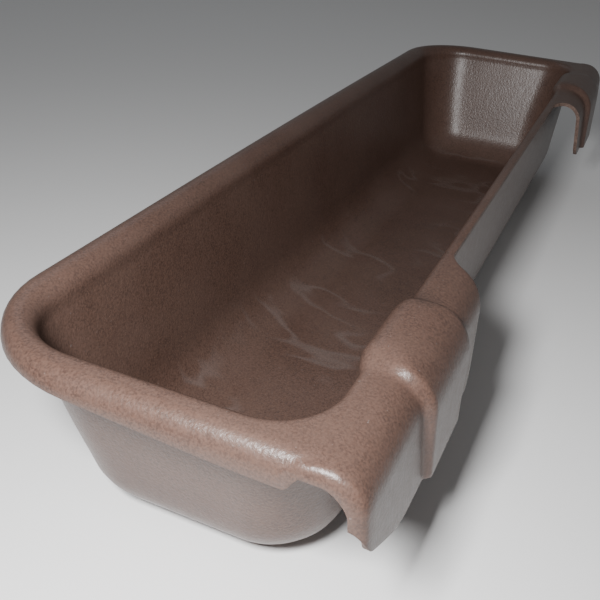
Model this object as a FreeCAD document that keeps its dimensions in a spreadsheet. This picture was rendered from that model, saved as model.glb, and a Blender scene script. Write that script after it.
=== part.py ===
"""Trough feeder: a deep plastic tub with a rolled rim and two saddle hooks that hang over a board.

Lengths are millimetres.  +X runs along the trough, +Y points at the board the trough hangs on,
+Z is up, and the origin is at the centre of the footprint, on the ground under the floor.
"""
import FreeCAD, Part
import os

SIZES = [
    # the rim
    ("rim_length", 1220, "rim, end to end, over the rolled bead"),
    ("rim_reach", 290, "front of the rim to the opening's back edge"),
    ("rim_height", 190, "top of the rim above the ground"),
    ("wall", 5, "wall of the moulding"),
    ("bead_width", 34, "opening's edge to the outside of the rolled rim"),
    ("bead_drop", 22, "top of the rim to its trimmed lower edge"),
    ("bead_round", 18, "outer rounding of the rolled rim"),
    ("opening_corner", 64, "plan radius of the opening's corners"),
    # the tub
    ("tub_drop", 16, "top of the rim to the top of the tub's walls"),
    ("end_draft", 45, "how far each end wall leans in on its way down"),
    ("front_draft", 32, "how far the front wall leans in on its way down"),
    ("back_draft", 10, "how far the back wall leans in on its way down"),
    ("floor_round", 60, "outer rounding between the walls and the floor"),
    # the narrow lip between the hooks
    ("lip_width", 12, "opening's edge to the trimmed edge of the back lip"),
    # the hooks
    ("hook_length", 300, "hook, along the trough, from the rim's end"),
    ("board_gap", 40, "clear width between the tub's wall and the hook's flange"),
    ("flange_draft", 4, "how far the hook's flange leans out on its way down"),
    ("crown_round", 30, "outer rounding between the hook's crown and its flange"),
    ("rib_inset", 120, "rim's end to the near side of the rib"),
    ("rib_width", 100, "raised rib, along the trough"),
    ("rib_raise", 8, "how far the rib stands out from the hook all round"),
    ("rib_drop", 92, "top of the rim to the bottom of the rib's flange"),
    ("flank_drop", 88, "top of the rim to the flange's edge beside the rib"),
    ("outer_tip_drop", 52, "top of the rim to the flange's edge at the trough's end"),
    ("inner_tip_drop", 68, "top of the rim to the flange's edge at the hook's inner end"),
]

doc = FreeCAD.newDocument("TroughFeeder")
sheet = doc.addObject("Spreadsheet::Sheet", "Sizes")
for row, (alias, value, meaning) in enumerate(SIZES, start=1):
    sheet.set(f"A{row}", alias)
    sheet.set(f"B{row}", str(value))
    sheet.set(f"C{row}", meaning)
    sheet.setAlias(f"B{row}", alias)
doc.recompute()


def bound(text):
    """Return an expression in which every size's name points at its cell."""
    words = text.replace("(", " ( ").replace(")", " ) ").split()
    names = {alias for alias, _, _ in SIZES}
    return " ".join("Sizes." + word if word in names else word for word in words)


# Places that several pieces share, as expressions of the sizes.
HALF = "( rim_length / 2 )"
OUTREACH = "( 2 * wall + board_gap + rib_raise + flange_draft )"
BACK = f"( ( rim_reach - {OUTREACH} ) / 2 )"
FRONT = f"( {BACK} - rim_reach )"
OPENING_X = f"( {HALF} - bead_width )"
OPENING_FRONT = f"( {FRONT} + bead_width )"
TUB_TOP = "( rim_height - tub_drop )"
UNDER_RIM = "( rim_height - wall )"
BEAD_LOW = "( rim_height - bead_drop )"
CORNER_START = f"( {BACK} - opening_corner )"
FLANGE_TOP = f"( {BACK} + 2 * wall + board_gap )"
CROWN_TOP = "( rim_height + rib_raise )"
RIB_LOW = "( rim_height - rib_drop )"
FLANK_LOW = "( rim_height - flank_drop )"
RIB_OUTER = f"( {HALF} - rib_inset )"
RIB_INNER = f"( {RIB_OUTER} - rib_width )"
HOOK_INNER = f"( {HALF} - hook_length )"
CLEAR = 20          # how far a cutting block runs past what it cuts
TOUCH = 0.5         # how near an edge is to a block's side to be on it
MOST = 0.9          # an edge that runs this share of a block's way runs all of it


def block(name, low, high, top_low=None, top_high=None, edges=()):
    """Return a body: a block that may taper upwards, with rounded edges.

    low and high are its corners as expressions (x, y, z); top_low and top_high are the (x, y)
    corners of its top face.  Each entry of edges is (picker, radius), where the radius is an
    expression and picker(edge, box) says whether an edge is rounded.
    """
    top_low, top_high = top_low or low[:2], top_high or high[:2]
    body = doc.addObject("PartDesign::Body", name)
    wedge = body.newObject("PartDesign::AdditiveWedge", name + "_block")
    wedge.Placement = FreeCAD.Placement(FreeCAD.Vector(), FreeCAD.Rotation(FreeCAD.Vector(1, 0, 0), 90))
    cells = {
        "Xmin": low[0], "Xmax": high[0], "X2min": top_low[0], "X2max": top_high[0],
        "Zmin": f"- ( {high[1]} )", "Zmax": f"- ( {low[1]} )",
        "Z2min": f"- ( {top_high[1]} )", "Z2max": f"- ( {top_low[1]} )",
        "Ymin": low[2], "Ymax": high[2],
    }
    for cell, expression in cells.items():
        wedge.setExpression(cell, bound(expression))
    body.Tip = wedge
    doc.recompute()
    for number, (picker, radius) in enumerate(edges):
        base = body.Tip
        box = FreeCAD.BoundBox()
        for vertex in base.Shape.Vertexes:
            box.add(vertex.Point)
        picked = [f"Edge{i + 1}" for i, edge in enumerate(base.Shape.Edges) if picker(edge, box)]
        fillet = body.newObject("PartDesign::Fillet", f"{name}_round{number}")
        fillet.Base = (base, picked)
        fillet.setExpression("Radius", bound(radius))
        body.Tip = fillet
        doc.recompute()
    return body


def upright(edge, box):
    """Pick the edges that run from the bottom of a block to its top."""
    return edge.BoundBox.ZLength > MOST * box.ZLength


def upright_front(edge, box):
    """Pick the upright edges at the front."""
    return upright(edge, box) and edge.CenterOfMass.y < box.Center.y


def floor_edge(edge, box):
    """Pick the edges round the bottom face."""
    return edge.CenterOfMass.z < box.ZMin + TOUCH


def top_outline(edge, box):
    """Pick the edges round the top face, but not the one along the back."""
    at_back = edge.CenterOfMass.y > box.YMax - TOUCH
    return edge.CenterOfMass.z > box.ZMax - TOUCH and not at_back


def cut(name, base, *tools):
    """Return base with every tool taken away, one after the other."""
    for number, tool in enumerate(tools):
        piece = doc.addObject("Part::Cut", f"{name}_cut{number}")
        piece.Base, piece.Tool = base, tool
        base = piece
    base.Label = name
    return base


def opening_core(name, grow, high):
    """Return the upright core of the opening, grown outwards by an amount, up to a height."""
    edges = [(upright, f"opening_corner + {grow}")]
    return block(name,
                 (f"- {OPENING_X} - {grow}", f"{OPENING_FRONT} - {grow}", f"- {CLEAR}"),
                 (f"{OPENING_X} + {grow}", f"{BACK} + {grow}", high), edges=edges)


ABOVE = f"{CROWN_TOP} + {CLEAR}"
OPENING = opening_core("opening", "0", ABOVE)
WALL_CORE = opening_core("wall_core", "wall", ABOVE)
SEAT = opening_core("tub_seat", "wall", TUB_TOP)


def tub_form(name, grow, low):
    """Return the tub's form: a block that widens upwards, with rounded corners and floor edge.

    grow is how far it stands outside the tub's inner surface, and low is its underside.
    """
    lean = f"( 1 - {low} / {TUB_TOP} )"
    side = f"( {OPENING_X} + {grow} )"
    foot = f"( {side} - end_draft * {lean} )"
    front, back = f"( {OPENING_FRONT} - {grow} )", f"( {BACK} + {grow} )"
    edges = [(upright, f"opening_corner + {grow}"), (floor_edge, f"floor_round - wall + {grow}")]
    return block(name,
                 (f"- {foot}", f"{front} + front_draft * {lean}", low),
                 (foot, f"{back} - back_draft * {lean}", TUB_TOP),
                 top_low=(f"- {side}", front), top_high=(side, back), edges=edges)


def build_tub():
    """Build the deep tub: a floor and four leaning walls, open at the top."""
    return cut("trough_tub", tub_form("tub_outside", "wall", "0"), tub_form("tub_inside", "0", "wall"))


def build_rim():
    """Build the rolled rim along the front and both ends, up to the corners beside the hooks."""
    corner = "opening_corner + bead_width"
    outside = block("rim_outside",
                    (f"- {HALF}", FRONT, BEAD_LOW), (HALF, CORNER_START, "rim_height"),
                    edges=[(upright_front, corner), (top_outline, "bead_round")])
    hollow = block("rim_hollow",
                   (f"- {HALF} + wall", f"{FRONT} + wall", f"{BEAD_LOW} - {CLEAR}"),
                   (f"{HALF} - wall", f"{CORNER_START} + {CLEAR}", UNDER_RIM),
                   edges=[(upright_front, f"{corner} - wall"), (top_outline, "bead_round - wall")])
    return cut("rim_bead", outside, cut("rim_under", hollow, WALL_CORE), OPENING, SEAT)


def build_back_lip():
    """Build the narrow trimmed lip along the back, between the two hooks."""
    lip = block("lip_outside",
                (f"- {HOOK_INNER}", BACK, TUB_TOP),
                (HOOK_INNER, f"{BACK} + lip_width", "rim_height"))
    under = block("lip_under",
                  (f"- {HALF}", f"{BACK} + wall", f"{TUB_TOP} - {CLEAR}"),
                  (HALF, f"{BACK} + lip_width + {CLEAR}", UNDER_RIM))
    return cut("back_lip", lip, under)


def crown_edge(edge, box):
    """Pick the top edge above the flange."""
    along = edge.BoundBox.XLength > MOST * box.XLength
    return along and edge.CenterOfMass.z > box.ZMax - TOUCH and edge.CenterOfMass.y > box.Center.y


def end_edges(edge, box):
    """Pick the top edges at the end of the trough, but not the upright one at the front."""
    at_end = edge.CenterOfMass.x > box.XMax - TOUCH
    behind = edge.CenterOfMass.y > box.YMin + TOUCH
    return at_end and behind and edge.BoundBox.ZMax > box.ZMax - TOUCH


def saddle(name, near, far, front, grow, low, high, edges=()):
    """Return the form of a stretch of hook between two places along the trough.

    grow is how far it stands outside the hook's outer surface, and may be negative.  Its back
    leans outwards on its way down by the flange's draft.
    """
    outside = f"{FLANGE_TOP} + {grow}"
    slope = "flange_draft / ( rib_drop + rib_raise )"
    foot = f"{outside} + {slope} * ( {CROWN_TOP} - {low} )"
    brow = f"{outside} + {slope} * ( {CROWN_TOP} - {high} )"
    return block(name, (near, front, low), (far, foot, high),
                 top_low=(near, front), top_high=(far, brow), edges=edges)


def crowned(grow):
    """Return the rounding of a saddle's crown that stands out by an amount."""
    return (crown_edge, f"crown_round + {grow}")


def build_outer_flank():
    """Build the hook from its rib to the trough's end, with the corner of the rim beside it."""
    form = saddle("outer_form", RIB_OUTER, HALF, CORNER_START, "0", FLANK_LOW, "rim_height",
                  edges=[crowned("0"), (end_edges, "bead_round")])
    room = saddle("outer_room", f"{RIB_OUTER} - {CLEAR}", f"{HALF} - wall", f"{CORNER_START} - {CLEAR}",
                  "- wall", f"{RIB_LOW} - {CLEAR}", UNDER_RIM,
                  edges=[crowned("- wall"), (end_edges, "bead_round - wall")])
    mouth = saddle("outer_mouth", f"{RIB_OUTER} - {CLEAR}", f"{HALF} + {CLEAR}",
                   f"{CORNER_START} - {CLEAR}", "- wall", f"{RIB_LOW} - {CLEAR}", BEAD_LOW)
    tip = block("outer_tip", (RIB_OUTER, BACK, FLANK_LOW),
                (f"{HALF} + {CLEAR}", f"{FLANGE_TOP} + {CLEAR}", "( rim_height - outer_tip_drop )"),
                top_low=(HALF, BACK), top_high=(f"{HALF} + {CLEAR}", f"{FLANGE_TOP} + {CLEAR}"))
    under = cut("outer_under", room, WALL_CORE)
    return cut("right_hook_outer_flank", form, under, mouth, OPENING, SEAT, tip)


def build_inner_flank():
    """Build the hook from its rib to its inner end."""
    behind = f"{BACK} + wall"
    form = saddle("inner_form", HOOK_INNER, RIB_INNER, BACK, "0", FLANK_LOW, "rim_height",
                  edges=[crowned("0")])
    room = saddle("inner_room", f"{HOOK_INNER} + wall", f"{RIB_INNER} + {CLEAR}", behind, "- wall",
                  f"{RIB_LOW} - {CLEAR}", UNDER_RIM, edges=[crowned("- wall")])
    mouth = saddle("inner_mouth", f"{HOOK_INNER} - {CLEAR}", f"{RIB_INNER} + {CLEAR}", behind,
                   "- wall", f"{RIB_LOW} - {CLEAR}", BEAD_LOW)
    tip = block("inner_tip", (f"{HOOK_INNER} - {CLEAR}", BACK, FLANK_LOW),
                (RIB_INNER, f"{FLANGE_TOP} + {CLEAR}", "( rim_height - inner_tip_drop )"),
                top_low=(f"{HOOK_INNER} - {CLEAR}", BACK),
                top_high=(HOOK_INNER, f"{FLANGE_TOP} + {CLEAR}"))
    return cut("right_hook_inner_flank", form, room, mouth, SEAT, tip)


def build_rib():
    """Build the raised rib that wraps the middle of the hook, with its two side walls."""
    behind, below = f"{BACK} + wall", f"{RIB_LOW} - {CLEAR}"
    form = saddle("rib_form", RIB_INNER, RIB_OUTER, f"{BACK} - rib_raise", "rib_raise", RIB_LOW,
                  CROWN_TOP, edges=[crowned("rib_raise")])
    room = saddle("rib_room", f"{RIB_INNER} + wall", f"{RIB_OUTER} - wall", behind,
                  "rib_raise - wall", below, f"{CROWN_TOP} - wall",
                  edges=[crowned("rib_raise - wall")])
    passage = saddle("rib_passage", f"{RIB_INNER} - {CLEAR}", f"{RIB_OUTER} + {CLEAR}", behind,
                     "- wall", below, UNDER_RIM, edges=[crowned("- wall")])
    seat = block("rib_seat", (f"{RIB_INNER} - {CLEAR}", f"{BACK} - {CLEAR}", below),
                 (f"{RIB_OUTER} + {CLEAR}", f"{BACK} + 2 * wall", TUB_TOP))
    return cut("right_hook_rib", form, room, passage, seat)


def mirrored(name, source):
    """Return the same piece at the other end of the trough."""
    piece = doc.addObject("Part::Mirroring", name)
    piece.Source = source
    piece.Base = FreeCAD.Vector(0, 0, 0)
    piece.Normal = FreeCAD.Vector(1, 0, 0)
    piece.Label = name
    return piece


def build_hooks():
    """Build the right hook's three pieces, and the left hook's as their mirror images."""
    right = [build_outer_flank(), build_rib(), build_inner_flank()]
    return right + [mirrored(piece.Label.replace("right", "left"), piece) for piece in right]


def check_and_write(pieces):
    """Stop on a failed object or a bad shape, then write one STEP file for each piece."""
    doc.recompute()
    for item in doc.Objects:
        if "Invalid" in item.State or "Error" in item.State:
            raise RuntimeError(f"{item.Name} failed: {item.State}")
    os.makedirs("parts", exist_ok=True)
    for piece in pieces:
        shape = piece.Shape
        if shape.isNull() or not shape.isValid() or not shape.Solids:
            raise RuntimeError(f"{piece.Label} has no valid solid")
        shape.exportStep(f"parts/{piece.Label}.step")
        box = shape.optimalBoundingBox(False)
        print(f"{piece.Label}: {len(shape.Solids)} solid, {shape.Volume / 1000:.1f} cm3, "
              f"x {box.XMin:.1f}..{box.XMax:.1f}  y {box.YMin:.1f}..{box.YMax:.1f}  "
              f"z {box.ZMin:.1f}..{box.ZMax:.1f}")


check_and_write([build_tub(), build_rim(), build_back_lip()] + build_hooks())
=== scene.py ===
"""Hook-over trough feeder: one moulded plastic shell, with its floor, lights and camera.

Lengths are metres.  +X runs along the trough, +Y points at the board it hangs on and +Z is up.
"""

import logging
import math
from dataclasses import dataclass, field
from enum import Enum

import bmesh
import bpy
from mathutils import Matrix, Vector


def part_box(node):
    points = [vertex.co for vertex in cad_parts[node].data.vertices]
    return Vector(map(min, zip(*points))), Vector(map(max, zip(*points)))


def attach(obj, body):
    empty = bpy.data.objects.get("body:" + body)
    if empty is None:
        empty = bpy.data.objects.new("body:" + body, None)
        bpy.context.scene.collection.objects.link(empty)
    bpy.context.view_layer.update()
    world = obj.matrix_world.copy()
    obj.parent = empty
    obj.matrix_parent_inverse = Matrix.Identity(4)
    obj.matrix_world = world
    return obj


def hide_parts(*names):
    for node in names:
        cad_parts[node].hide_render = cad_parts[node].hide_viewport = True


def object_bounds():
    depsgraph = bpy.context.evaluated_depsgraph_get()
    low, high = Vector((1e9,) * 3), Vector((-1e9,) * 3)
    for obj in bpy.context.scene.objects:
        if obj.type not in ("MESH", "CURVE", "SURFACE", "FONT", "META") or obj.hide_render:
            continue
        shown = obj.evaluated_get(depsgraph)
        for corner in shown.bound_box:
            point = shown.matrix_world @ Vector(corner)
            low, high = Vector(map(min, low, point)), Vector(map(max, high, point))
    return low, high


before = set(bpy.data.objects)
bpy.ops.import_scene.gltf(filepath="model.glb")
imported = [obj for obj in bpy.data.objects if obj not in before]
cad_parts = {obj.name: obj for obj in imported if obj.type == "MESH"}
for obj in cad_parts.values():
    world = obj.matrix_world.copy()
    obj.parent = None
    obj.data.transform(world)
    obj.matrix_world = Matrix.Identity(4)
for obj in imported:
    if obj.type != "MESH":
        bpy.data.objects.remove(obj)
CAD_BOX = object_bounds()

LOG = logging.getLogger("trough")
MM = 0.001


class Zone(Enum):
    """A stretch of the rim, seen from above, in order from the middle of the front."""

    FRONT = "front"
    FRONT_CORNER = "front corner"
    END = "end"
    BACK_CORNER = "back corner"
    BACK = "back"


@dataclass(frozen=True)
class Station:
    """A place along the rim of the right half of the trough.

    Attributes:
        zone: The stretch of rim it is on.
        place: A share of a straight stretch, or the share of a corner's quarter turn.
        even: The same share with the stations spread evenly, which the tub's walls follow.
        outside: Where its line ends on the outside of the back corner, or None elsewhere.
        x: Its fixed place along the trough above the opening, or None where it follows the rim.
    """

    zone: Zone
    place: float
    even: float
    outside: tuple[float, float] | None = None
    x: float | None = None


def smooth(low: float, high: float, value: float) -> float:
    """Return 0 below low, 1 above high and a smooth rise between them."""
    share = min(1.0, max(0.0, (value - low) / (high - low)))
    return share * share * (3.0 - 2.0 * share)


def mix(first: float, second: float, share: float) -> float:
    """Return the value that lies a share of the way from first to second."""
    return first + (second - first) * share


def quarter(radius: float, depth: float, inset: float) -> float:
    """Return how far a rounded edge has dropped, a given distance in from its outside.

    Args:
        radius: How far in the rounding reaches.
        depth: How far it has dropped at its outside.
        inset: Distance in from the outside.

    Returns:
        The drop, which is zero beyond the rounding.
    """
    share = min(1.0, max(0.0, (radius - inset) / radius))
    return depth * (1.0 - math.sqrt(1.0 - share * share))


@dataclass(frozen=True)
class Crease:
    """The fold on top of the trough's back corner, where the rolled rim runs into the hook.

    Attributes:
        start: How far behind the opening's back edge the fold is at the trough's end.
        lean: How much further back it is for each step in from the end.
        reach: How far in from the end it leans.
        ahead: How far ahead of its line the surface starts to change.
        after: How far after its line the change is done, at the end.
        widen: How much wider the change gets for each step in from the end.
        depth: How deep it is pressed at the end.
        narrow: How wide its pressed line is.
        fade: How far in from the end the pressed line reaches.
    """

    start: float = -10 * MM
    lean: float = 2.5
    reach: float = 12 * MM
    ahead: float = 1 * MM
    after: float = 2 * MM
    widen: float = 1 / 3
    depth: float = 1.2 * MM
    narrow: float = 2 * MM
    fade: float = 16 * MM

    def back_of(self, inside: float) -> float:
        """Return how far behind the opening's back edge the fold is, a distance in from the end."""
        return self.start + self.lean * min(self.reach, inside)

    def share(self, inside: float, behind: float) -> float:
        """Return 0 on the rim's side of the fold, 1 on the hook's side and a rise between.

        Args:
            inside: Distance in from the trough's end.
            behind: Distance behind the opening's back edge.
        """
        line = self.back_of(inside)
        return smooth(line - self.ahead, line + self.after + self.widen * inside, behind)

    def pressed(self, inside: float, behind: float) -> float:
        """Return how deep the fold's line is pressed at a place.

        Args:
            inside: Distance in from the trough's end.
            behind: Distance behind the opening's back edge.
        """
        line = math.exp(-((behind - self.back_of(inside)) / self.narrow) ** 2)
        return self.depth * line * max(0.0, 1 - inside / self.fade)


@dataclass(frozen=True)
class FlangeEdge:
    """The trimmed lower edge of a hook's flange, which climbs towards the trough's end.

    Attributes:
        low: Its lowest height.
        turn: How far in from the trough's end it turns from level to climbing.
        slope: Half of how far it climbs for each step towards the end.
        soft: How softly it turns.
        tip_lift: How far the corner at the trough's end is rounded up.
        tip_reach: How far in from the end that rounding starts.
        inner_lift: How far the corner on the inner side is rounded up.
        inner_reach: How far that rounding reaches.
    """

    low: float = 99 * MM
    turn: float = 62 * MM
    slope: float = 0.30
    soft: float = 12 * MM
    tip_lift: float = 14 * MM
    tip_reach: float = 11 * MM
    inner_lift: float = 12 * MM
    inner_reach: float = 24 * MM

    def height(self, inside: float, past_inner: float) -> float:
        """Return its height.

        Args:
            inside: Distance in from the trough's end.
            past_inner: Distance from the hook's inner end.
        """
        away = self.turn - inside
        climb = self.slope * (away + math.hypot(away, self.soft))
        tip = self.tip_lift * max(0.0, 1 - inside / self.tip_reach) ** 2
        inner = self.inner_lift * max(0.0, 1 - past_inner / self.inner_reach) ** 2
        return self.low + climb + tip + inner


@dataclass
class MouldedShell:
    """The whole moulding: tub, rolled rim, back lip and the two ribbed saddle hooks.

    Attributes:
        wall: Thickness of the sheet.
        opening_corners: Plan radii of the opening's front and back corners.
        front_round: Radius of the opening's rounded edge along the front.
        end_round: The same at the ends.
        back_round: The same along the back.
        outer_corner: Plan radius of the rim's front corners, outside.
        bead_round: How far in the rim's outer rounding reaches.
        bead_depth: How deep the rim is rolled, at the front corner and beside the hook.
        bead_trim: How far it then hangs straight down, at the same two places.
        end_lean: How far an end wall would lean in at a floor without a rounded foot.
        front_lean: The same for the front wall.
        back_lean: The same for the back wall.
        foot_round: Radius between the walls and the floor, inside.
        wall_corner: Plan radius of the tub's upright corners.
        foot_corner: The same where the floor starts.
        front_bow: How far the front rim would bow out in the middle, measured from its ends.
        bow_level: The share of that bow that its ends are set back by.
        lip_width: Width of the trimmed back lip.
        hook_reach: Distance from the opening's back edge to the back of the crown.
        crown_round: Radius over which the hook turns down.
        flange_draft: How far the flange leans out on its way down.
        flare_start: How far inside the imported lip's end the hook's inner end starts.
        hook_flare: How far the hook's inner end opens out from the lip.
        flare_run: How quickly it opens out.
        hook_slant: How far the inner end leans towards the rib for each step down.
        rib_raise: Height of the rib.
        rib_shoulder: Width of its shoulders on the crown.
        rib_soft_shoulder: Their width at the opening.
        rib_narrow: How much narrower the rib is at the opening than on the crown.
        rib_taper: How much each side of the rib narrows on its way down.
        rib_fade: Depth below the rim at which the rib has faded out inside the tub.
        end_roll: How far in the hook's rolled end reaches, first tightly and then loosely.
        end_roll_depth: How far each of the two parts of that roll drops.
        end_roll_turn: How much deeper the roll is where the crown turns down.
        crease: The fold between the rim and the hook.
        flange_edge: The flange's lower edge.
        foot_turns: Places of the rings round the foot, in degrees up from the floor.
        wall_levels: Heights of the rings on the wall, in millimetres, under a sharp opening.
        squeeze_from: Height above which those rings are squeezed in under the rounded opening.
        squeeze_to: Depth of the sharp opening's highest ring.
    """

    wall: float = 5 * MM
    opening_corners: tuple[float, float] = (68 * MM, 50 * MM)
    front_round: float = 18 * MM
    end_round: float = 13 * MM
    back_round: float = 9 * MM
    outer_corner: float = 118 * MM
    bead_round: float = 15 * MM
    bead_depth: tuple[float, float] = (14 * MM, 19 * MM)
    bead_trim: tuple[float, float] = (1 * MM, 6 * MM)
    end_lean: float = 45 * MM
    front_lean: float = 32 * MM
    back_lean: float = 10 * MM
    foot_round: float = 55 * MM
    wall_corner: float = 60 * MM
    foot_corner: float = 24 * MM
    front_bow: float = 4 * MM
    bow_level: float = 0.35
    lip_width: float = 12 * MM
    hook_reach: float = 50 * MM
    crown_round: float = 30 * MM
    flange_draft: float = 5 * MM
    flare_start: float = 22 * MM
    hook_flare: float = 18 * MM
    flare_run: float = 7 * MM
    hook_slant: float = 0.37
    rib_raise: float = 8 * MM
    rib_shoulder: float = 9 * MM
    rib_soft_shoulder: float = 28 * MM
    rib_narrow: float = 7 * MM
    rib_taper: float = 12.5 * MM
    rib_fade: float = 36 * MM
    end_roll: tuple[float, float] = (6 * MM, 16 * MM)
    end_roll_depth: tuple[float, float] = (8 * MM, 4.5 * MM)
    end_roll_turn: float = 0.16
    crease: Crease = Crease()
    flange_edge: FlangeEdge = FlangeEdge()
    foot_turns: tuple[int, ...] = (12, 24, 36, 48, 60, 70, 80)
    wall_levels: tuple[int, ...] = (58, 76, 95, 114, 130, 142, 150, 157, 163, 168, 173, 177)
    squeeze_from: float = 130 * MM
    squeeze_to: float = 12 * MM
    stations: list[Station] = field(default_factory=list)

    def __post_init__(self) -> None:
        """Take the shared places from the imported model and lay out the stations."""
        self.half = CAD_BOX[1].x
        self.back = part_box("back_lip")[0].y
        self.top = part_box("rim_bead")[1].z
        self.opening_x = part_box("trough_tub")[1].x - self.wall
        self.opening_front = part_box("trough_tub")[0].y + self.wall
        self.crown_back = self.back + self.hook_reach
        self.inner_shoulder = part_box("right_hook_rib")[0].x - 1 * MM
        self.outer_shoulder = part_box("right_hook_rib")[1].x + 4 * MM
        self.hook_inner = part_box("back_lip")[1].x - self.flare_start
        self.flange_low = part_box("right_hook_rib")[0].z
        self.stations = self.lay_out_stations()

    # ---- stations along the rim -------------------------------------------------------------

    def corner_outline(self) -> list[tuple[float, float]]:
        """Return where the back corner's lines end outside: along the end, then along the back.

        They are closest together at the crease and at the hook's rolled end.
        """
        along_end = [-46, -38, -30, -23, -18, *range(-15, 7, 3), 10, 15, 20]
        places = [(self.half, self.back + behind * MM) for behind in along_end]
        for degrees in range(15, 90, 10):
            turn = math.sin(math.radians(degrees)) * self.crown_round
            places.append((self.half, self.crown_back - self.crown_round + turn))
        along_back = [0, 0.3, 1, 2, 3.3, 5, 7, 9, 12, 15, 19, 23, 30, 42, 58, 75, 90]
        return places + [(self.half - inset * MM, self.crown_back) for inset in along_back]

    def back_places(self) -> list[float]:
        """Return the places along the trough of the back's stations, from the corner inwards."""
        shoulder = [-8, -4.5, -2.2, 0, 2.2, 4.5, 8]
        lip_steps = 14
        near = [self.outer_shoulder - step * MM for step in shoulder]
        far = [self.inner_shoulder - step * MM for step in shoulder]
        between = [mix(near[-1], far[0], share / 8) for share in range(1, 8)]
        shares = (0.2, 0.4, 0.6, 0.75, 0.86, 0.94, 1.0)
        inner = [mix(far[-1], self.hook_inner, share) for share in shares]
        lip = [self.hook_inner * step / lip_steps for step in range(lip_steps - 1, -1, -1)]
        return near + between + far + inner + lip

    @staticmethod
    def spread(zone: Zone, count: int) -> list[Station]:
        """Return stations spread evenly along a zone, without its first place."""
        return [Station(zone, step / count, step / count) for step in range(1, count + 1)]

    def lay_out_stations(self) -> list[Station]:
        """Return the stations from the middle of the front round to the middle of the back."""
        straight = self.opening_x - self.opening_corners[1]
        outline = self.corner_outline()
        legs = [0.0]
        previous = (self.half, self.back - self.opening_corners[1])
        for place in outline:
            legs.append(legs[-1] + math.dist(previous, place))
            previous = place
        fan = [Station(Zone.BACK_CORNER, leg / legs[-1], (number + 1) / len(outline), place)
               for number, (leg, place) in enumerate(zip(legs[1:], outline))]
        rear = [Station(Zone.BACK, x / straight, x / straight, None, x) for x in self.back_places()]
        end = self.spread(Zone.END, 8)
        front_corner = self.spread(Zone.FRONT_CORNER, 14)
        half_fan = len(fan) // 2
        self.columns = len(fan) - half_fan + len(rear)
        front = [Station(Zone.FRONT, 0.0, 0.0)] + self.spread(Zone.FRONT, self.columns - 7)
        everything = front + front_corner + end + fan + rear
        self.rows = len(everything) - 1 - 2 * self.columns
        LOG.info("half rim: %d stations, floor %d by %d", len(everything), self.columns, self.rows)
        return everything

    # ---- sections ---------------------------------------------------------------------------

    def outward(self, lean: float, z: float, rounding: float) -> float:
        """Return how far out from the opening a wall's inside face is at a height.

        Args:
            lean: How far in the wall would reach at the floor without its rounded foot.
            z: Height above the ground.
            rounding: Radius of the opening's rounded edge there.

        Returns:
            The distance out, which is negative on the wall and rises over the rounded edge.
        """
        shoulder = self.top - rounding
        slope = lean / (shoulder - self.wall)
        tilt = math.atan(slope)
        join = shoulder - rounding * math.sin(tilt)
        if z >= join:
            return rounding - math.sqrt(max(0.0, rounding ** 2 - (z - shoulder) ** 2))
        start = rounding * (1.0 - math.cos(tilt))
        centre = self.wall + self.foot_round
        if z >= centre - self.foot_round * math.sin(tilt):
            return start - slope * (join - z)
        middle = start - slope * (join - centre) - self.foot_round / math.cos(tilt)
        return middle + math.sqrt(max(0.0, self.foot_round ** 2 - (centre - z) ** 2))

    def edge_round(self, station: Station) -> float:
        """Return the radius of the opening's rounded edge at a station."""
        if station.zone is Zone.FRONT:
            return self.front_round
        if station.zone is Zone.FRONT_CORNER:
            return mix(self.front_round, self.end_round, smooth(0.0, 1.0, station.place))
        if station.zone is Zone.END:
            return self.end_round
        if station.zone is Zone.BACK_CORNER:
            return mix(self.end_round, self.back_round, smooth(0.15, 0.95, station.place))
        return self.back_round

    def corners_at(self, z: float) -> tuple[float, float]:
        """Return the radii of the tub's front and back upright corners at a height."""
        lift = min(1.0, max(0.0, (self.wall + self.foot_round - z) / self.foot_round))
        rise = smooth(80 * MM, self.top - 6 * MM, z)
        made = []
        for opening in self.opening_corners:
            corner = mix(self.wall_corner, opening, rise)
            made.append(corner - (corner - self.foot_corner) * (1.0 - math.sqrt(1.0 - lift * lift)))
        return made[0], made[1]

    def on_outline(self, station: Station, end: float, front: float, back: float,
                   corners: tuple[float, float], evenly: float = 0.0) -> Vector:
        """Return a station's place on a rounded rectangle, seen from above.

        Args:
            station: The station.
            end: The rectangle's half length.
            front: Its front side's place across the trough.
            back: Its back side's place.
            corners: The radii of its front and back corners.
            evenly: How far the stations are spread evenly, from 0 to 1.

        Returns:
            The place, at height zero.
        """
        turn = mix(station.place, station.even, evenly) * math.pi / 2
        near, far = corners
        if station.zone is Zone.FRONT:
            return Vector((station.place * (end - near), front, 0.0))
        if station.zone is Zone.FRONT_CORNER:
            return Vector((end - near + near * math.sin(turn), front + near - near * math.cos(turn), 0.0))
        if station.zone is Zone.END:
            return Vector((end, mix(front + near, back - far, station.place), 0.0))
        if station.zone is Zone.BACK_CORNER:
            return Vector((end - far + far * math.cos(turn), back - far + far * math.sin(turn), 0.0))
        return Vector((station.place * (end - far), back, 0.0))

    def inside_place(self, station: Station, z: float, rounding: float) -> Vector:
        """Return where a station's line is on the inside of the tub at a height.

        Args:
            station: The station.
            z: The height.
            rounding: Radius of the opening's rounded edge there.
        """
        evenly = 1.0 - smooth(self.wall + self.foot_round, self.top - 15 * MM, z)
        ends = self.outward(self.end_lean, z, rounding)
        corners = tuple(corner + max(0.0, ends) for corner in self.corners_at(z))
        place = self.on_outline(station, self.opening_x + ends,
                                self.opening_front - self.outward(self.front_lean, z, rounding),
                                self.back + self.outward(self.back_lean, z, rounding), corners, evenly)
        place.z = z
        return self.bow(station, place)

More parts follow.
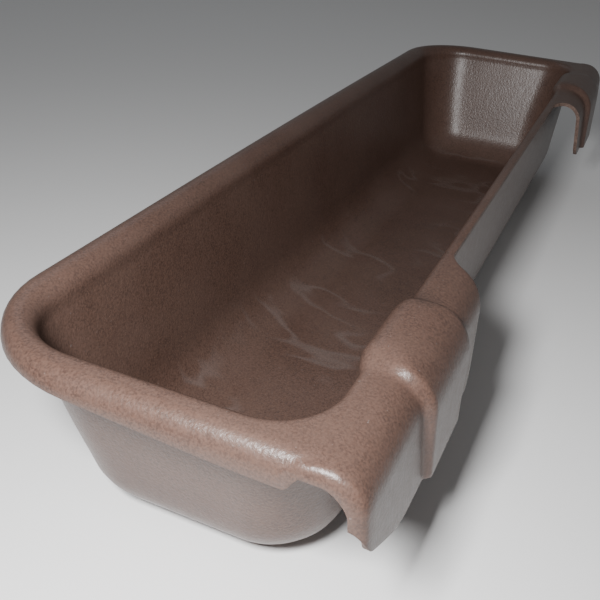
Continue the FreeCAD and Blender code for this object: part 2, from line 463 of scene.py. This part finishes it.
    def bow(self, station: Station, place: Vector) -> Vector:
        """Return a place on the front wall or rim, bowed out towards the middle of its length."""
        if station.zone is Zone.FRONT:
            share = place.x / self.half
            wave = math.cos(share * math.pi / 2) - self.bow_level
            place.y -= self.front_bow * wave * (1.0 - share ** 4)
        return place

    def rib(self, station: Station, crisp: float) -> float:
        """Return how fully the rib is raised at a station.

        Args:
            station: The station.
            crisp: How crisp the rib's shoulders are, from 0 at the opening to 1 on the crown.

        Returns:
            A share, from 0 beside the rib to 1 on it.
        """
        if station.x is None:
            return 0.0
        half = mix(self.rib_soft_shoulder, self.rib_shoulder, crisp) / 2
        low, high = self.inner_shoulder, self.outer_shoulder - mix(self.rib_narrow, 0.0, crisp)
        return smooth(low - half, low + half, station.x) * (1 - smooth(high - half, high + half, station.x))

    def wall_place(self, station: Station, level: float) -> Vector:
        """Return where a station's line is on the wall, from its level below a sharp opening."""
        rounding = self.edge_round(station)
        start = self.squeeze_from
        z = level
        if level > start:
            share = (level - start) / (self.top - self.squeeze_to - start)
            z = mix(start, self.top - 1.25 * rounding, share)
        place = self.inside_place(station, z, rounding)
        fade = smooth(self.top - self.rib_fade, self.top - rounding, z)
        place.y -= self.rib_raise * self.rib(station, 0.0) * fade
        return place

    def edge_place(self, station: Station, turn: float) -> Vector:
        """Return where a station's line is on the rounded edge of the opening.

        Args:
            station: The station.
            turn: How far round the edge, from 0 at the wall to a quarter turn on top.
        """
        rounding = self.edge_round(station)
        place = self.inside_place(station, self.top - rounding * (1.0 - math.sin(turn)), rounding)
        rise = self.rib_raise * self.rib(station, 0.0)
        return place + Vector((0.0, -rise * math.cos(turn), rise * math.sin(turn)))

    def top_place(self, x: float, y: float, rise: float) -> Vector:
        """Return the place on top of the end rim, the hook or the corner between them.

        Args:
            x: Place along the trough.
            y: Place across it, before the surface turns down over the board.
            rise: How far the rib lifts the surface there.
        """
        inside = self.half - x
        rim = quarter(self.bead_round, self.along_end(self.bead_depth, y), inside)
        share = min(1.0, max(0.0, (y - self.crown_back + self.crown_round) / self.crown_round))
        turn = math.asin(share)
        roll = self.roll(inside) * (1.0 + self.end_roll_turn * math.sin(2 * turn))
        behind = y - self.back
        drop = mix(rim, roll, self.crease.share(inside, behind))
        offset = rise - drop - self.crease.pressed(inside, behind)
        base = self.top - self.crown_round * (1.0 - math.cos(turn))
        return Vector((x, y + math.sin(turn) * offset, base + math.cos(turn) * offset))

    def roll(self, inside: float) -> float:
        """Return how far the hook's end has rolled over, a distance in from its edge."""
        tight, loose = zip(self.end_roll, self.end_roll_depth)
        return quarter(*tight, inside) + quarter(*loose, inside)

    def slide(self, x: float, run: float) -> float:
        """Return where a hook line has slid to along the trough, as the rib and the hook narrow.

        Args:
            x: The line's place at the opening.
            run: Distance from the back lip, over the crown and down the flange.
        """
        low, high = self.inner_shoulder - 9 * MM, self.outer_shoulder + 10 * MM
        taper = self.rib_taper * smooth(20 * MM, 130 * MM, run)
        if x >= high:
            return x - taper * (self.half - x) / (self.half - high)
        if x >= low:
            return x + mix(taper, -taper, (x - low) / (high - low))
        flare = self.hook_flare * (1.0 - math.exp(-run / self.flare_run))
        edge = self.hook_inner + flare + self.hook_slant * run
        return mix(edge, low + taper, (x - self.hook_inner) / (low - self.hook_inner))

    def hook_place(self, station: Station, out: float) -> Vector:
        """Return where a hook line is on top of the hook, a distance out from the opening."""
        flat = self.hook_reach - self.crown_round
        share = min(1.0, max(0.0, (out - flat) / self.crown_round))
        run = min(out, flat) + self.crown_round * math.asin(share) - self.lip_width
        x = self.slide(station.x, max(0.0, run))
        crisp = smooth(self.back_round, self.back_round + 25 * MM, out)
        return self.top_place(x, self.back + out, self.rib_raise * self.rib(station, crisp))

    def flange_place(self, station: Station, share: float) -> Vector:
        """Return where a hook line is on the flange, from 0 under the crown to 1 at its edge."""
        start_x = station.x if station.x is not None else station.outside[0]
        high = self.top - self.crown_round
        z = mix(high, self.flange_edge.height(self.half - start_x, start_x - self.hook_inner), share)
        over = self.hook_reach + (math.pi / 2 - 1) * self.crown_round - self.lip_width
        x = self.slide(start_x, over + high - z)
        lean = self.flange_draft * (high - z) / (high - self.flange_low)
        rise = self.rib_raise * (1.0 - 0.3 * share) * self.rib(station, 1.0)
        return Vector((x, self.crown_back + lean + rise - self.roll(self.half - x), z))

    def fan_place(self, station: Station, rim_share: float, hook_share: float) -> Vector:
        """Return where a line is between the opening's rounded corner and the outer corner."""
        inner = self.inside_place(station, self.top, self.edge_round(station))
        turned = smooth(self.back - 10 * MM, self.crown_back, station.outside[1])
        share = mix(rim_share, hook_share, turned)
        x = mix(inner.x, station.outside[0], share)
        y = mix(inner.y, station.outside[1], share)
        return self.top_place(x, y, 0.0)

    def rim_place(self, station: Station, rim_out: float, hook_out: float) -> Vector:
        """Return where a station's line is on top of the rim or hook.

        Args:
            station: The station.
            rim_out: Distance out from the opening, on the front and the end.
            hook_out: Distance out from the opening, on the back.
        """
        width = self.half - self.opening_x
        rim_round = self.edge_round(station)
        start = max(width - self.bead_round, rim_round + 1 * MM)
        if rim_out < width - self.bead_round:
            rim_out = mix(rim_round, start, rim_out / (width - self.bead_round))
        if station.outside is not None:
            return self.fan_place(station, (rim_out - rim_round) / (width - rim_round),
                                  (hook_out - self.back_round) / (self.hook_reach - self.back_round))
        if station.x is not None:
            return self.hook_place(station, hook_out)
        corner = mix(self.opening_corners[0] + rim_round, self.outer_corner,
                     (rim_out - rim_round) / (width - rim_round))
        far = self.opening_corners[1] + max(rim_out, rim_round)
        place = self.on_outline(station, self.opening_x + rim_out, self.opening_front - rim_out,
                                self.back + rim_out, (corner, far))
        place = self.bow(station, place)
        depth = self.along_end(self.bead_depth, place.y)
        place.z = self.top - quarter(self.bead_round, depth, width - rim_out)
        return place

    def along_end(self, pair: tuple[float, float], y: float) -> float:
        """Return a size that grows from the front corner to the hook, at a place across."""
        return mix(pair[0], pair[1], smooth(self.opening_front + 20 * MM, self.back - 10 * MM, y))

    def trim_place(self, place: Vector) -> Vector:
        """Return the trimmed edge under a place on the outside of the rolled rim."""
        drop = self.along_end(self.bead_depth, place.y) + self.along_end(self.bead_trim, place.y)
        step = smooth(self.back - 6 * MM, self.back + 4 * MM, place.y)
        return Vector((place.x, place.y, mix(self.top - drop, place.z - 0.5 * MM, step)))

    # ---- mesh -------------------------------------------------------------------------------

    def floor_place(self, column: int, row: int) -> Vector:
        """Return the place of a point of the flat floor inside its outline."""
        def edge(index: int) -> Vector:
            """Return a station's place where the flat floor ends."""
            return self.wall_place(self.stations[index], self.wall)

        across, along = column / self.columns, row / self.rows
        front, back = edge(column), edge(2 * self.columns + self.rows - column)
        end, first, last = edge(self.columns + row), edge(self.columns), edge(self.columns + self.rows)
        share = (end.y - first.y) / (last.y - first.y)
        middle = edge(0).lerp(edge(2 * self.columns + self.rows), share)
        corners = middle.lerp(first.lerp(last, share), across)
        return front.lerp(back, share) + middle.lerp(end, across) - corners

    def rings(self) -> list[tuple[str, float, float]]:
        """Return the rings round the floor, in the order they are extruded."""
        foot = [self.wall + self.foot_round * (1 - math.cos(math.radians(turn)))
                for turn in self.foot_turns]
        heights = foot + [level * MM for level in self.wall_levels]
        made = [("wall", z, 0.0) for z in heights]
        made += [("edge", math.radians(angle), 0.0) for angle in range(0, 91, 15)]
        start = self.half - self.opening_x - self.bead_round
        made += [("top", start / 3, self.lip_width), ("top", start * 2 / 3, 15 * MM)]
        flat = self.hook_reach - self.crown_round
        for angle in range(0, 91, 9):
            turn = math.sin(math.radians(angle))
            made.append(("top", start + self.bead_round * turn, flat + self.crown_round * turn))
        return made

    def extrude(self, chain: list[int]) -> list[int]:
        """Extrude a chain of edges of the mesh being edited.

        Args:
            chain: The vertices along the chain.

        Returns:
            The new vertices, in the same order.
        """
        bpy.ops.mesh.select_all(action="DESELECT")
        data = bpy.context.edit_object.data
        work = bmesh.from_edit_mesh(data)
        work.verts.ensure_lookup_table()
        for first, second in zip(chain, chain[1:]):
            work.edges.get((work.verts[first], work.verts[second])).select_set(True)
        bmesh.update_edit_mesh(data)
        bpy.ops.mesh.extrude_edges_move()
        work = bmesh.from_edit_mesh(data)
        work.verts.ensure_lookup_table()
        made = []
        for old in chain:
            vert = work.verts[old]
            made.append(next(e.other_vert(vert).index for e in vert.link_edges if e.other_vert(vert).select))
        return made

    @staticmethod
    def move(chain: list[int], places: list[Vector]) -> None:
        """Move vertices of the mesh being edited to their places."""
        data = bpy.context.edit_object.data
        work = bmesh.from_edit_mesh(data)
        work.verts.ensure_lookup_table()
        for index, place in zip(chain, places):
            work.verts[index].co = place
        bmesh.update_edit_mesh(data)

    def lay_floor(self) -> list[int]:
        """Add the floor as a grid, shape it and return its outline's vertices in station order."""
        bpy.ops.object.select_all(action="DESELECT")
        bpy.ops.mesh.primitive_grid_add(x_subdivisions=self.columns, y_subdivisions=self.rows, size=1)
        bpy.context.object.name = "trough_shell"
        bpy.ops.object.mode_set(mode="EDIT")
        bpy.ops.mesh.select_mode(type="EDGE")
        work = bmesh.from_edit_mesh(bpy.context.edit_object.data)
        spots = {}
        for vert in work.verts:
            column = round((vert.co.x + 0.5) * self.columns)
            row = round((vert.co.y + 0.5) * self.rows)
            spots[(column, row)] = vert.index
        self.move(list(spots.values()), [self.floor_place(*spot) for spot in spots])
        front = [spots[(column, 0)] for column in range(self.columns + 1)]
        end = [spots[(self.columns, row)] for row in range(1, self.rows + 1)]
        back = [spots[(column, self.rows)] for column in range(self.columns - 1, -1, -1)]
        return front + end + back

    def shape_half(self) -> None:
        """Raise the walls, the rim and the hook of the right half from the floor's outline."""
        chain = self.lay_floor()
        stations = self.stations
        hook_end = max(i for i, s in enumerate(stations)
                       if s.x is not None and s.x > self.hook_inner - MM / 10)
        corner = next(i for i, s in enumerate(stations)
                      if s.outside is not None and s.outside[1] > self.crown_back - MM / 10)
        for kind, first, second in self.rings():
            if kind == "top" and len(chain) > hook_end + 1 and second > self.lip_width:
                chain = chain[:hook_end + 1]
            chain = self.extrude(chain)
            makers = {
                "wall": lambda station: self.wall_place(station, first),
                "edge": lambda station: self.edge_place(station, first),
                "top": lambda station: self.rim_place(station, first, second),
            }
            self.move(chain, [makers[kind](station) for station in stations[:len(chain)]])
        trimmed = next(i for i, s in enumerate(stations)
                       if s.outside is not None and s.outside[1] > self.back + 2 * MM)
        work = bmesh.from_edit_mesh(bpy.context.edit_object.data)
        work.verts.ensure_lookup_table()
        edge = [work.verts[index].co.copy() for index in chain[:trimmed + 1]]
        trim = self.extrude(chain[:trimmed + 1])
        self.move(trim, [self.trim_place(place) for place in edge])
        flange = chain[corner:]
        steps = 12
        for step in range(1, steps + 1):
            flange = self.extrude(flange)
            self.move(flange, [self.flange_place(s, step / steps) for s in stations[corner:]])
        bpy.ops.mesh.select_all(action="SELECT")
        bpy.ops.mesh.normals_make_consistent(inside=False)
        work = bmesh.from_edit_mesh(bpy.context.edit_object.data)
        lowest = min(work.faces, key=lambda face: face.calc_center_median().z)
        if lowest.normal.z < 0:
            bpy.ops.mesh.flip_normals()
        bpy.ops.object.mode_set(mode="OBJECT")

    def build(self, finishes: list[bpy.types.Material]) -> bpy.types.Object:
        """Build and dress the moulding.

        Args:
            finishes: The plastic's skin, then its trimmed edge.

        Returns:
            The finished object, at the origin, with its place in its mesh.
        """
        self.shape_half()
        shell = bpy.context.object
        for finish in finishes:
            shell.data.materials.append(finish)
        mirror = shell.modifiers.new("other half", "MIRROR")
        mirror.use_axis = (True, False, False)
        mirror.use_clip = True
        mirror.merge_threshold = 0.05 * MM
        bpy.ops.object.modifier_apply(modifier=mirror.name)
        thickness = shell.modifiers.new("wall", "SOLIDIFY")
        thickness.thickness = self.wall
        thickness.offset = -1.0
        thickness.use_quality_normals = True
        thickness.material_offset_rim = 1
        bpy.ops.object.modifier_apply(modifier=thickness.name)
        edges = shell.modifiers.new("trimmed edges", "BEVEL")
        edges.width = 0.9 * MM
        edges.segments = 2
        edges.limit_method = "ANGLE"
        edges.angle_limit = math.radians(62)
        bpy.ops.object.modifier_apply(modifier=edges.name)
        bpy.ops.object.shade_smooth_by_angle(angle=math.radians(50))
        LOG.info("shell: %d faces", len(shell.data.polygons))
        return shell


# ---- finish -----------------------------------------------------------------------------------


def socket(group: bpy.types.NodeTree, name: str, kind: str, way: str = "INPUT",
           value: float | tuple | None = None) -> None:
    """Give a node group a named socket.

    Args:
        group: The group.
        name: The socket's name.
        kind: Float, Color or Vector.
        way: INPUT or OUTPUT.
        value: The default value, or None.
    """
    made = group.interface.new_socket(name=name, in_out=way, socket_type=f"NodeSocket{kind}")
    if value is not None:
        made.default_value = value


class Graph:
    """A node tree being wired up."""

    def __init__(self, tree: bpy.types.NodeTree) -> None:
        """Start on a tree."""
        self.tree = tree

    def add(self, kind: str, values: dict | None = None, **settings: object) -> bpy.types.Node:
        """Add a node.

        Args:
            kind: Its type, without the ShaderNode in front.
            values: Sockets by name or number, each with a value or a socket to link from.
            settings: The node's own settings.

        Returns:
            The node.
        """
        name = kind if kind.startswith("Node") else f"ShaderNode{kind}"
        node = self.tree.nodes.new(name)
        for key, value in settings.items():
            setattr(node, key, value)
        for key, value in (values or {}).items():
            if isinstance(value, bpy.types.NodeSocket):
                self.tree.links.new(value, node.inputs[key])
            else:
                node.inputs[key].default_value = value
        return node

    def noise(self, vector: bpy.types.NodeSocket, scale: float, detail: float = 3.0,
              rough: float = 0.5) -> bpy.types.NodeSocket:
        """Return the value of a noise pattern read at a vector."""
        return self.add("TexNoise", {"Vector": vector, "Scale": scale, "Detail": detail,
                                     "Roughness": rough}).outputs["Fac"]

    def stretch(self, vector: bpy.types.NodeSocket, scale: tuple[float, float, float],
                turn: tuple[float, float, float] = (0.0, 0.0, 0.0)) -> bpy.types.NodeSocket:
        """Return a vector stretched and turned, so that a pattern on it runs one way."""
        return self.add("Mapping", {"Vector": vector, "Scale": scale, "Rotation": turn}).outputs[0]

    def ramp(self, value: bpy.types.NodeSocket, low: float, high: float, out_low: float = 0.0,
             out_high: float = 1.0) -> bpy.types.NodeSocket:
        """Return a value taken smoothly from one range to another."""
        return self.add("MapRange", {"Value": value, "From Min": low, "From Max": high,
                                     "To Min": out_low, "To Max": out_high},
                        interpolation_type="SMOOTHSTEP").outputs[0]

    def math(self, operation: str, first: object, second: object = 0.0) -> bpy.types.NodeSocket:
        """Return the result of a sum on two values."""
        return self.add("Math", {0: first, 1: second}, operation=operation).outputs[0]

    def tint(self, share: object, first: object, second: object,
             blend: str = "MIX") -> bpy.types.NodeSocket:
        """Return a mix of two colours."""
        node = self.add("Mix", data_type="RGBA", blend_type=blend)
        for index, value in ((0, share), (6, first), (7, second)):
            if isinstance(value, bpy.types.NodeSocket):
                self.tree.links.new(value, node.inputs[index])
            else:
                node.inputs[index].default_value = value
        return node.outputs[2]


def grain_group() -> bpy.types.NodeTree:
    """Return the group for the fine leathery skin that the mould leaves on the plastic."""
    group = bpy.data.node_groups.new("moulded grain", "ShaderNodeTree")
    socket(group, "Vector", "Vector")
    socket(group, "Pebble size", "Float", value=420.0)
    socket(group, "Height", "Float", "OUTPUT")
    socket(group, "Pits", "Float", "OUTPUT")
    graph = Graph(group)
    given = graph.add("NodeGroupInput").outputs
    warp = graph.add("TexNoise", {"Vector": given["Vector"], "Scale": 180.0, "Detail": 2.0}).outputs["Color"]
    bent = graph.add("VectorMath", {0: warp, 1: (0.5, 0.5, 0.5)}, operation="SUBTRACT").outputs[0]
    bent = graph.add("VectorMath", {0: bent, "Scale": 0.0028}, operation="SCALE").outputs[0]
    bent = graph.add("VectorMath", {0: bent, 1: given["Vector"]}, operation="ADD").outputs[0]
    pebble = graph.add("TexVoronoi", {"Vector": bent, "Scale": given["Pebble size"]},
                       feature="SMOOTH_F1").outputs["Distance"]
    fine = graph.noise(given["Vector"], 1100.0, 4.0, 0.65)
    coarse = graph.noise(given["Vector"], 260.0, 4.0, 0.6)
    height = graph.math("MULTIPLY_ADD", pebble, -0.6)
    height.node.inputs[2].default_value = 0.6
    height = graph.math("ADD", height, graph.math("MULTIPLY", coarse, 0.9))
    height = graph.math("ADD", height, graph.math("MULTIPLY", fine, 0.35))
    pits = graph.ramp(graph.noise(bent, 520.0, 3.0, 0.6), 0.36, 0.62)
    result = graph.add("NodeGroupOutput", {})
    group.links.new(height, result.inputs["Height"])
    group.links.new(pits, result.inputs["Pits"])
    return group


def new_finish(name: str) -> tuple[bpy.types.Material, Graph, bpy.types.NodeSocket]:
    """Return a new material with an empty node tree.

    Args:
        name: The material's name.

    Returns:
        The material, its graph and its object coordinates.
    """
    material = bpy.data.materials.new(name)
    material.use_nodes = True
    material.node_tree.nodes.clear()
    graph = Graph(material.node_tree)
    return material, graph, graph.add("TexCoord").outputs["Object"]


def add_skin(graph: Graph, grain: bpy.types.NodeTree, place: bpy.types.NodeSocket,
             pebble: float) -> bpy.types.Node:
    """Return a node with the moulded skin.

    Args:
        graph: The material's graph.
        grain: The group for the moulded skin.
        place: The object coordinates.
        pebble: How many of the skin's pebbles fit in a metre.
    """
    skin = graph.add("Group", node_tree=grain)
    graph.tree.links.new(place, skin.inputs["Vector"])
    skin.inputs["Pebble size"].default_value = pebble
    return skin


def finish_plastic(graph: Graph, colour: bpy.types.NodeSocket, rough: object,
                   relief: bpy.types.NodeSocket, level: float) -> None:
    """Add the plastic's shader and the material's output.

    Args:
        graph: The material's graph.
        colour: Its colour.
        rough: Its roughness, as a socket or a number.
        relief: Its normal.
        level: Its specular level.
    """
    shader = graph.add("BsdfPrincipled", {"Base Color": colour, "Roughness": rough, "Normal": relief,
                                          "IOR": 1.49, "Specular IOR Level": level})
    output = graph.add("OutputMaterial")
    graph.tree.links.new(shader.outputs[0], output.inputs[0])


@dataclass(frozen=True)
class MouldedBrown:
    """The brown moulded plastic, with its grain, mottling, stretch marks, wear and glossy floor streaks
    painted paler as sheen.

    Attributes:
        lit: Colour of the grain's crests.
        deep: Colour of its pits.
        dusty: Colour of the paler mottling.
        sheen_and_nicks: Pale colour painted on the floor's glossy streaks as their sheen, and the colour of
            nicks.
        roughness: Its middling roughness.
        mottled: How far the mottling takes the roughness down and up.
        drawn_rough: How much the stretch marks change it.
        streak_gloss: How much glossier the floor's streaks are.
        level: Its specular level.
        pebble: How many of the skin's pebbles fit in a metre.
        floor_fade: The heights between which the floor's streaks fade out.
    """

    lit: tuple[float, float, float, float] = (0.086, 0.048, 0.036, 1.0)
    deep: tuple[float, float, float, float] = (0.042, 0.024, 0.019, 1.0)
    dusty: tuple[float, float, float, float] = (0.125, 0.082, 0.067, 1.0)
    sheen_and_nicks: tuple[float, float, float, float] = (0.190, 0.165, 0.158, 1.0)
    roughness: float = 0.34
    mottled: tuple[float, float] = (0.015, 0.02)
    drawn_rough: float = 0.08
    streak_gloss: float = 0.12
    level: float = 0.40
    pebble: float = 430.0
    floor_fade: tuple[float, float] = (12 * MM, 45 * MM)

    def sheen_streak_mask(self, graph: Graph, place: bpy.types.NodeSocket) -> bpy.types.NodeSocket:
        """Return the mask of the wavy glossy streaks on the floor, whose sheen is also painted in as a paler
        colour.

        Args:
            graph: The material's graph.
            place: The object coordinates.
        """
        height = graph.add("SeparateXYZ", {0: place}).outputs[2]
        low = graph.ramp(height, *self.floor_fade, 1.0, 0.0)
        wave = graph.noise(graph.stretch(place, (1.0, 0.5, 1.0)), 17.0, 1.6, 0.5)
        line = graph.math("ABSOLUTE", graph.math("SUBTRACT", wave, 0.5))
        line = graph.ramp(line, 0.0, 0.05, 1.0, 0.0)
        patch = graph.ramp(graph.noise(place, 7.0, 2.0, 0.5), 0.44, 0.62)
        return graph.math("MULTIPLY", graph.math("MULTIPLY", line, patch), low)

    def colour(self, graph: Graph, place: bpy.types.NodeSocket, pits: bpy.types.NodeSocket,
               mottle: bpy.types.NodeSocket, marks: bpy.types.NodeSocket) -> bpy.types.NodeSocket:
        """Return the plastic's colour.

        Args:
            graph: The material's graph.
            place: The object coordinates.
            pits: The mask of the grain's pits.
            mottle: The mask of the mottling.
            marks: The mask of the floor's glossy streaks, painted paler as their sheen.
        """
        speck = graph.ramp(graph.noise(place, 420.0, 4.0, 0.7), 0.34, 0.66)
        cloud = graph.ramp(graph.noise(place, 9.0, 3.0, 0.5), 0.3, 0.7)
        nicks = graph.ramp(graph.noise(place, 330.0, 1.0, 0.4), 0.77, 0.79)
        colour = graph.tint(pits, self.deep, self.lit)
        # The floor's streaks are tinted paler as a painted sheen; the nicks are real pale wear.
        layers = ((mottle, 0.45, self.lit), (speck, 0.22, self.dusty), (cloud, 0.25, self.dusty),
                  (marks, 0.20, self.sheen_and_nicks), (nicks, 0.30, self.sheen_and_nicks))
        for mask, strength, shade in layers:
            colour = graph.tint(graph.math("MULTIPLY", mask, strength), colour, shade)
        return colour

    def relief(self, graph: Graph, place: bpy.types.NodeSocket, grain: bpy.types.NodeSocket,
               drawn: bpy.types.NodeSocket) -> bpy.types.NodeSocket:
        """Return the plastic's normal: the grain and stretch marks, on a faint waviness.

        Args:
            graph: The material's graph.
            place: The object coordinates.
            grain: The height of the grain.
            drawn: The pattern of the stretch marks.
        """
        height = graph.math("ADD", grain, graph.math("MULTIPLY", drawn, 0.5))
        fine = graph.add("Bump", {"Height": height, "Strength": 0.45, "Distance": 0.6 * MM})
        wave = graph.noise(graph.stretch(place, (0.6, 1.0, 1.0)), 14.0, 2.0, 0.4)
        return graph.add("Bump", {"Height": wave, "Strength": 0.12, "Distance": 4 * MM,
                                  "Normal": fine.outputs[0]}).outputs[0]

    def make(self, grain: bpy.types.NodeTree) -> bpy.types.Material:
        """Return the material.

        Args:
            grain: The group for the moulded skin.
        """
        material, graph, place = new_finish("moulded brown plastic")
        skin = add_skin(graph, grain, place, self.pebble)
        mottle = graph.ramp(graph.noise(place, 95.0, 5.0, 0.62), 0.32, 0.68)
        drawn = graph.noise(graph.stretch(place, (1.0, 1.0, 0.08)), 300.0, 3.0, 0.55)
        # This streak mask makes the floor glossier and also paints its sheen in as a paler colour.
        marks = self.sheen_streak_mask(graph, place)
        less, more = self.mottled
        rough = graph.ramp(mottle, 0.0, 1.0, self.roughness - less, self.roughness + more)
        swing = graph.math("MULTIPLY", graph.math("SUBTRACT", drawn, 0.5), self.drawn_rough)
        rough = graph.math("ADD", rough, swing)
        rough = graph.math("SUBTRACT", rough, graph.math("MULTIPLY", marks, self.streak_gloss))
        colour = self.colour(graph, place, skin.outputs["Pits"], mottle, marks)
        relief = self.relief(graph, place, skin.outputs["Height"], drawn)
        finish_plastic(graph, colour, rough, relief, self.level)
        return material


@dataclass(frozen=True)
class CutEdge:
    """The paler, slightly torn edge that trimming leaves.

    Attributes:
        pale: Colour of the torn fibres.
        dark: Colour between them.
        roughness: Its roughness.
        level: Its specular level.
        pebble: How many of the tears fit in a metre.
    """

    pale: tuple[float, float, float, float] = (0.165, 0.108, 0.086, 1.0)
    dark: tuple[float, float, float, float] = (0.085, 0.052, 0.040, 1.0)
    roughness: float = 0.62
    level: float = 0.5
    pebble: float = 600.0

    def make(self, grain: bpy.types.NodeTree) -> bpy.types.Material:
        """Return the material.

        Args:
            grain: The group for the moulded skin, whose pits read here as torn fibres.
        """
        material, graph, place = new_finish("trimmed edge")
        skin = add_skin(graph, grain, place, self.pebble)
        tear = graph.ramp(graph.noise(place, 130.0, 4.0, 0.7), 0.35, 0.65)
        colour = graph.tint(tear, self.dark, self.pale)
        colour = graph.tint(graph.math("MULTIPLY", skin.outputs["Pits"], 0.3), colour, self.pale)
        relief = graph.add("Bump", {"Height": skin.outputs["Height"], "Strength": 0.8,
                                    "Distance": 0.8 * MM}).outputs[0]
        finish_plastic(graph, colour, self.roughness, relief, self.level)
        return material


# ---- studio -----------------------------------------------------------------------------------


@dataclass
class Studio:
    """The pale floor, the soft lights and the camera."""

    floor_size: float = 14.0
    azimuth: float = 112.6
    elevation: float = 29.96
    roll: float = -3.81
    lens: float = 47.85
    camera_place: tuple[float, float, float] = (0.9449, 0.2509, 0.5095)

    def lay_floor(self) -> bpy.types.Object:
        """Return the floor, a wide plane that the trough rests on."""
        bpy.ops.object.select_all(action="DESELECT")
        bpy.ops.mesh.primitive_plane_add(size=self.floor_size, location=(0.0, 0.0, -0.0005))
        floor = bpy.context.object
        floor.name = "studio floor"
        material = bpy.data.materials.new("pale floor")
        material.use_nodes = True
        shader = material.node_tree.nodes["Principled BSDF"]
        shader.inputs["Base Color"].default_value = (0.83, 0.83, 0.83, 1.0)
        shader.inputs["Roughness"].default_value = 0.85
        floor.data.materials.append(material)
        return floor

    def hang_light(self, name: str, place: tuple[float, float, float],
                   aim: tuple[float, float, float], size: float, power: float,
                   tint: tuple[float, float, float] = (1.0, 1.0, 1.0)) -> None:
        """Hang a square soft light.

        Args:
            name: Its name.
            place: Where it hangs.
            aim: The point it faces.
            size: The length of its sides.
            power: Its power in watts.
            tint: Its colour.
        """
        lamp = bpy.data.lights.new(name, "AREA")
        lamp.color = tint
        lamp.shape = "SQUARE"
        lamp.size = size
        lamp.energy = power
        light = bpy.data.objects.new(name, lamp)
        bpy.context.collection.objects.link(light)
        light.visible_camera = False
        light.location = place
        light.rotation_mode = "QUATERNION"
        light.rotation_quaternion = (Vector(aim) - Vector(place)).to_track_quat("-Z", "Y")

    def light(self) -> None:
        """Hang the lights and set the pale surroundings."""
        self.hang_light("softbox", (0.96, 0.09, 0.61), (0.25, 0.0, 0.1), 0.13, 16.5)
        self.hang_light("window", (-1.6, -1.5, 1.9), (0.2, 0.1, 0.15), 1.0, 2.0, (0.80, 0.88, 1.0))
        world = bpy.data.worlds.new("studio air")
        world.use_nodes = True
        air = world.node_tree.nodes["Background"]
        air.inputs["Color"].default_value = (1.0, 1.0, 1.0, 1.0)
        air.inputs["Strength"].default_value = 0.17
        bpy.context.scene.world = world

    def place_camera(self) -> None:
        """Place the camera."""
        data = bpy.data.cameras.new("camera")
        data.lens = self.lens
        data.sensor_width = 36.0
        data.clip_start, data.clip_end = 0.01, 60.0
        camera = bpy.data.objects.new("camera", data)
        bpy.context.collection.objects.link(camera)
        turn, lift = math.radians(self.azimuth), math.radians(self.elevation)
        ahead = Vector((-math.sin(turn) * math.cos(lift), math.cos(turn) * math.cos(lift), -math.sin(lift)))
        side = Vector((math.cos(turn), math.sin(turn), 0.0))
        down = ahead.cross(side)
        cosine, sine = math.cos(math.radians(self.roll)), math.sin(math.radians(self.roll))
        right = side * cosine + down * sine
        up = side * sine - down * cosine
        basis = Matrix((right, up, -ahead)).transposed()
        camera.matrix_world = Matrix.Translation(self.camera_place) @ basis.to_4x4()
        bpy.context.scene.camera = camera


def main() -> None:
    """Build the trough, dress it and set up the studio."""
    logging.basicConfig(level=logging.INFO, format="%(name)s: %(message)s")
    grain = grain_group()
    finishes = [MouldedBrown().make(grain), CutEdge().make(grain)]
    shell = MouldedShell().build(finishes)
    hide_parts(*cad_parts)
    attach(shell, "root")
    LOG.info("trough shell built and dressed")
    studio = Studio()
    studio.lay_floor()
    studio.light()
    studio.place_camera()
    LOG.info("studio ready")


if __name__ == "__main__":
    main()
